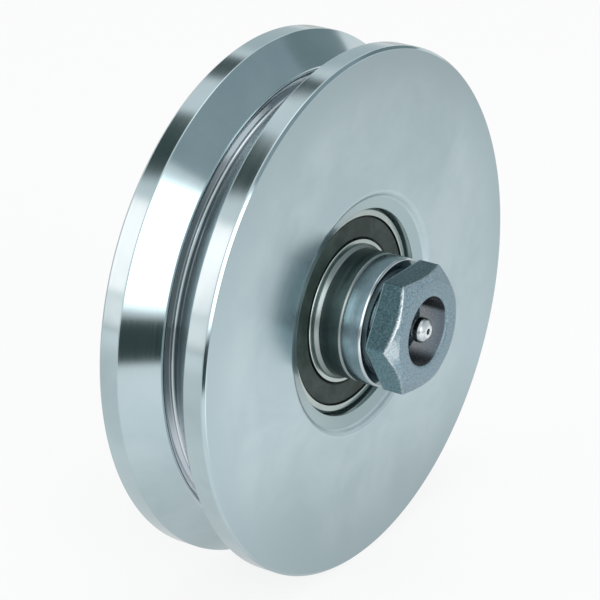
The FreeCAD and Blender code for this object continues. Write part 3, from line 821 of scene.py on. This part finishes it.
def buildNut(size):
    corner, face, start, end = size["flats"] / math.sqrt(3), size["face"], size["start"], size["end"]
    bore, mouth, fall = size["bore"], size["mouth"], chamferFall(corner, face)
    nut = spinSection("axle_nut_milled", [
        (bore, start + mouth), (bore + mouth, start), (face, start), (corner, start + fall),
        (corner, end - fall), (face, end), (bore + mouth, end), (bore, end - mouth),
    ], size["steps"])
    pressHexagon(nut, size["flats"], face, [(start, 1), (end, -1)])
    roundEdges(nut, size["edge"])
    smoothFlats(nut)
    dress(nut, "axle_set", "axle_nut", fastenerSteel)


def buildNipple(size):
    corner, face, thread, neck = size["flats"] / math.sqrt(3), size["face"], size["thread"], size["neck"]
    head, crown, bore, inlet, top = size["head"], size["crown"], size["bore"], size["inlet"], size["hexTop"]
    nipple = spinSection("nipple_body_turned", [
        (size["footBore"], size["end"]), (thread, size["end"]), (thread, size["floor"]),
        (corner, size["floor"]), (corner, top + chamferFall(corner, face)), (face, top), (thread, top),
        (neck, size["neckStart"]), (neck, size["neckEnd"]), (head, size["shoulder"]), (head, crown),
        (head - size["crownFall"], crown - size["crownRise"]), (size["tip"], size["front"]),
        (inlet, size["front"]), (inlet, size["seat"]), (bore, size["seat"] + bore - inlet),
        (bore, size["foot"]), (size["footBore"], size["foot"]),
    ], size["steps"])
    pressHexagon(nipple, size["flats"], face, [(top, 1)])
    roundEdges(nipple, size["edge"], 2)
    smoothFlats(nipple)
    dress(nipple, "axle_set", "nipple_body", nippleSteel)


def windSpring(size):  # the check valve's coil, at one length
    clearSelection()
    bpy.ops.mesh.primitive_circle_add(vertices=size["wireSides"], radius=size["wire"] * mm,
                                      location=(size["coil"] * mm, size["top"] * mm, 0))
    spring = bpy.context.object
    spring.name = "nipple_spring_wound"
    bpy.ops.object.transform_apply(location=True, rotation=True, scale=True)
    length = size["foot"] - size["top"]
    applyModifier(spring, "SCREW", axis="Y", angle=2 * math.pi, screw_offset=length / size["turns"] * mm,
                  iterations=size["turns"], steps=size["steps"], render_steps=size["steps"])
    bpy.ops.object.mode_set(mode="EDIT")
    bpy.ops.mesh.select_mode(type="VERT")
    bpy.ops.mesh.select_all(action="DESELECT")
    bpy.ops.mesh.select_non_manifold()
    bpy.ops.mesh.fill_holes(sides=0)  # both cut ends of the wire
    closeMesh()
    bpy.ops.object.shade_smooth_by_angle(angle=math.radians(size["smoothAngle"]))
    dress(spring, "axle_set", "nipple_spring", springSteel)
    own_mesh(spring)


buildBolt(boltSize, threadSize)
buildNut(nutSize)
buildNipple(nippleSize)
windSpring(springSize)
print("bolt, nut and nipple made")


# carried-over pieces keep their solids and take a finish

carriedFinish = {
    "front_balls": bearingSteel, "rear_balls": bearingSteel, "nipple_ball": bearingSteel,
    "front_cage": cagePlastic, "rear_cage": cagePlastic,
}
for nodeName, material in carriedFinish.items():
    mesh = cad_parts[nodeName].data
    mesh.materials.clear()
    mesh.materials.append(material)
print("finishes given to the carried pieces:", len(carriedFinish))


# camera at the photo's angle

cameraView = {
    "place": (-0.5395, -0.3634, 0.2803), "lens": 163.14, "sensor": 36.0, "clipStart": 0.01,
    "right": (0.56280, -0.82659, 0.0), "up": (0.32695, 0.22261, 0.91845),
    "back": (-0.75918, -0.51691, 0.39555),
}


def placeCamera(view):
    camera = bpy.data.cameras.new("photoCamera")
    camera.lens = view["lens"]
    camera.sensor_width = view["sensor"]
    camera.clip_start = view["clipStart"]
    holder = bpy.data.objects.new("photoCamera", camera)
    bpy.context.collection.objects.link(holder)
    turn = Matrix((view["right"], view["up"], view["back"])).transposed()
    holder.matrix_world = Matrix.Translation(view["place"]) @ turn.to_4x4()
    bpy.context.scene.camera = holder


placeCamera(cameraView)


# pale floor, soft light and grey cards for the metal to mirror

floorLook = {
    "level": -0.07, "size": 6.0, "colour": (0.92, 0.92, 0.92), "fibreShade": 0.98, "white": 0.85,
    "mirrorFar": 0.62,
    "pools": [
        {"place": (-0.03, -0.11), "start": 0.05, "end": 0.5, "gain": 0.46},
        {"place": (-0.52, 0.36), "start": 0.1, "end": 0.42, "gain": 0.4},
        {"place": (0.29, -0.175), "start": 0.02, "end": 0.1, "gain": 0.1},
        {"place": (-0.07, -0.19), "start": 0.03, "end": 0.12, "gain": 0.9},
        # the next two pools are painted shade near the wheel, darker in the metal's mirror
        {"place": (0.03, 0.0), "stretch": 2.0, "start": 0.02, "end": 0.085, "gain": -0.32},
        {"place": (-0.13, 0.07), "start": 0.03, "end": 0.13, "gain": -0.12},
    ],
}
worldLook = {"ambient": (0.62, 0.64, 0.65), "backdrop": (0.965, 0.965, 0.965)}
lampLook = {
    "leftFrontLamp": {"azimuth": -26, "elevation": 20, "distance": 1.2, "width": 0.46, "height": 0.72,
                      "power": 3.6},
    "leftBackLamp": {"azimuth": -129, "elevation": 23, "distance": 1.2, "width": 0.34, "height": 0.62,
                     "power": 2.4},
    "overheadLamp": {"azimuth": 30, "elevation": 80, "distance": 1.4, "width": 0.8, "height": 0.8,
                     "power": 4.0},
}
cardLook = {
    "leftFrontGlow": {"azimuth": -29, "elevation": 18, "distance": 1.2, "width": 0.58, "height": 0.89,
                      "tone": (3.1, 3.1, 3.1), "soft": (0.06, 0.06, 0.16, 0.06)},
    "leftBackGlow": {"azimuth": -129, "elevation": 24, "distance": 1.2, "width": 0.38, "height": 0.74,
                     "tone": (2.0, 1.75, 1.7), "soft": (0.1, 0.1, 0.1, 0.1)},
    "leftBackSpill": {"azimuth": -124, "elevation": 2, "distance": 1.1, "width": 0.4, "height": 0.36,
                      "tone": (1.4, 1.3, 1.28), "soft": (0.4, 0.4, 0.4, 0.4)},
    "overheadGlow": {"azimuth": 30, "elevation": 80, "distance": 1.4, "width": 0.8, "height": 0.8,
                     "tone": (1.85, 1.85, 1.85), "soft": (0.2, 0.2, 0.2, 0.2)},
    "slateCeiling": {"azimuth": 33, "elevation": 45, "distance": 1.3, "width": 1.8, "height": 0.84,
                     "tone": (0.37, 0.43, 0.455), "soft": (0.02, 0.08, 0.08, 0.08)},
    "backFlag": {"azimuth": -160, "elevation": 48.8, "distance": 1.2, "width": 0.63, "height": 0.53,
                 "tone": (0.045, 0.07, 0.065), "soft": (0.15, 0.15, 0.46, 0.05)},
    "rightBackStrip": {"azimuth": 142, "elevation": 45, "distance": 1.2, "width": 0.33, "height": 0.4,
                       "tone": (0.08, 0.1, 0.1), "soft": (0.3, 0.3, 0.3, 0.3)},
    "rightBackWash": {"azimuth": 124, "elevation": 20, "distance": 1.4, "width": 0.5, "height": 1.1,
                      "tone": (0.6, 0.66, 0.67), "soft": (0.25, 0.25, 0.25, 0.25)},
    "rightFlag": {"azimuth": 78.5, "elevation": 24, "distance": 1.2, "width": 0.6, "height": 0.56,
                  "tone": (0.25, 0.31, 0.32), "soft": (0.1, 0.1, 0.1, 0.1)},
    "lowFlag": {"azimuth": -49.7, "elevation": -7.4, "distance": 0.263, "width": 0.11, "height": 0.078,
                "tone": (0.03, 0.05, 0.05), "soft": (0.2, 0.2, 0.2, 0.07)},
}


def facingOrigin(azimuth, elevation, distance):  # azimuth 0 is towards -Y, 90 towards +X
    a, e = math.radians(azimuth), math.radians(elevation)
    back = Vector((math.sin(a) * math.cos(e), -math.cos(a) * math.cos(e), math.sin(e)))
    return Matrix.Translation(back * distance) @ back.to_track_quat("Z", "Y").to_matrix().to_4x4()


def showToMirrors(tree):  # camera, glossy and transmission rays see the white
    rays = newNode(tree, "ShaderNodeLightPath")
    seen = addMath(tree, "ADD", rays.outputs["Is Camera Ray"], rays.outputs["Is Glossy Ray"])
    seen = addMath(tree, "ADD", seen, rays.outputs["Is Transmission Ray"])
    return addMath(tree, "MINIMUM", seen, 1.0), rays


def startBare(name):  # a material without the usual shader
    material = bpy.data.materials.new(name)
    material.use_nodes = True
    tree = material.node_tree
    tree.nodes.remove(tree.nodes["Principled BSDF"])
    return material, tree


def blendShaders(tree, factor, first, second, outputName):
    blend = newNode(tree, "ShaderNodeMixShader")
    for value, socket in zip((factor, first.outputs[0], second.outputs[0]), blend.inputs):
        tree.links.new(value, socket)
    tree.links.new(blend.outputs[0], tree.nodes[outputName].inputs["Surface"])


def poolOfLight(tree, place, pool):  # a patch of the floor that the metal sees brighter; a negative gain makes it painted shade
    away = distanceFrom(tree, place.outputs["Object"], (*pool["place"], 0), pool.get("stretch", 1.0))
    return remap(tree, away, pool["start"], pool["end"], pool["gain"], 0.0)


def buildFloor(look):
    clearSelection()
    bpy.ops.mesh.primitive_plane_add(size=look["size"], location=(0, 0, look["level"]))
    floor = bpy.context.object
    floor.name = "floor"
    material, tree = startBare("paleFloor")
    paper = newNode(tree, "ShaderNodeBsdfDiffuse")
    place = newNode(tree, "ShaderNodeTexCoord")
    fibre = setInputs(newNode(tree, "ShaderNodeTexNoise"), Scale=60.0, Detail=3.0)
    tree.links.new(place.outputs["Object"], fibre.inputs["Vector"])
    shade = tuple(channel * look["fibreShade"] for channel in look["colour"])
    tree.links.new(mixColour(tree, fibre.outputs["Fac"], shade, look["colour"]), paper.inputs["Color"])
    glow = newNode(tree, "ShaderNodeEmission")
    seen, rays = showToMirrors(tree)
    mirrored = look["mirrorFar"]
    for pool in look["pools"]:
        mirrored = addMath(tree, "ADD", poolOfLight(tree, place, pool), mirrored)
    # the white is even to the eye and fades in the metal
    whole = setInputs(newNode(tree, "ShaderNodeMix", data_type="FLOAT"), A=1.0)
    tree.links.new(rays.outputs["Is Glossy Ray"], whole.inputs["Factor"])
    tree.links.new(mirrored, whole.inputs["B"])
    tree.links.new(whole.outputs["Result"], glow.inputs["Strength"])
    blendShaders(tree, product(tree, seen, look["white"]), paper, glow, "Material Output")
    floor.data.materials.append(material)


def lightWorld(look):
    world = bpy.data.worlds.new("studio")
    world.use_nodes = True
    bpy.context.scene.world = world
    tree = world.node_tree
    ambient = tree.nodes["Background"]
    ambient.inputs["Color"].default_value = (*look["ambient"], 1)
    backdrop = newNode(tree, "ShaderNodeBackground")
    backdrop.inputs["Color"].default_value = (*look["backdrop"], 1)
    blendShaders(tree, showToMirrors(tree)[0], ambient, backdrop, "World Output")


def hangLamps(looks):
    for name, look in looks.items():
        lamp = bpy.data.lights.new(name, "AREA")
        lamp.shape = "RECTANGLE"
        lamp.size, lamp.size_y, lamp.energy = look["width"], look["height"], look["power"]
        holder = bpy.data.objects.new(name, lamp)
        bpy.context.collection.objects.link(holder)
        holder.matrix_world = facingOrigin(look["azimuth"], look["elevation"], look["distance"])
        holder.visible_glossy = False  # the metal mirrors the soft cards instead


def softEdge(tree, soft):  # 1 inside a card, falling to 0 at its left, right, low and high borders
    inside, border = 1.0, 0.5  # a card is one unit wide before it is scaled
    for value, first, last in zip(objectPlace(tree)[1:], soft[::2], soft[1::2]):
        inside = product(tree, remap(tree, value, -border, first - border), inside)
        inside = product(tree, fade(tree, value, (border - last, border)), inside)
    return inside


def hangCards(looks):
    for name, look in looks.items():
        clearSelection()
        bpy.ops.mesh.primitive_plane_add(size=1)
        card = bpy.context.object
        card.name = name
        scale = Matrix.Diagonal((look["width"], look["height"], 1, 1))
        card.matrix_world = facingOrigin(look["azimuth"], look["elevation"], look["distance"]) @ scale
        card.visible_camera = card.visible_diffuse = card.visible_shadow = card.visible_transmission = False
        material, tree = startBare(name)
        glow = setInputs(newNode(tree, "ShaderNodeEmission"), Color=(*look["tone"], 1))
        clear = newNode(tree, "ShaderNodeBsdfTransparent")
        blendShaders(tree, softEdge(tree, look["soft"]), clear, glow, "Material Output")
        card.data.materials.append(material)


buildFloor(floorLook)
lightWorld(worldLook)
hangLamps(lampLook)
hangCards(cardLook)
bpy.context.scene.view_settings.view_transform = "Standard"
print("camera, floor and lights placed")
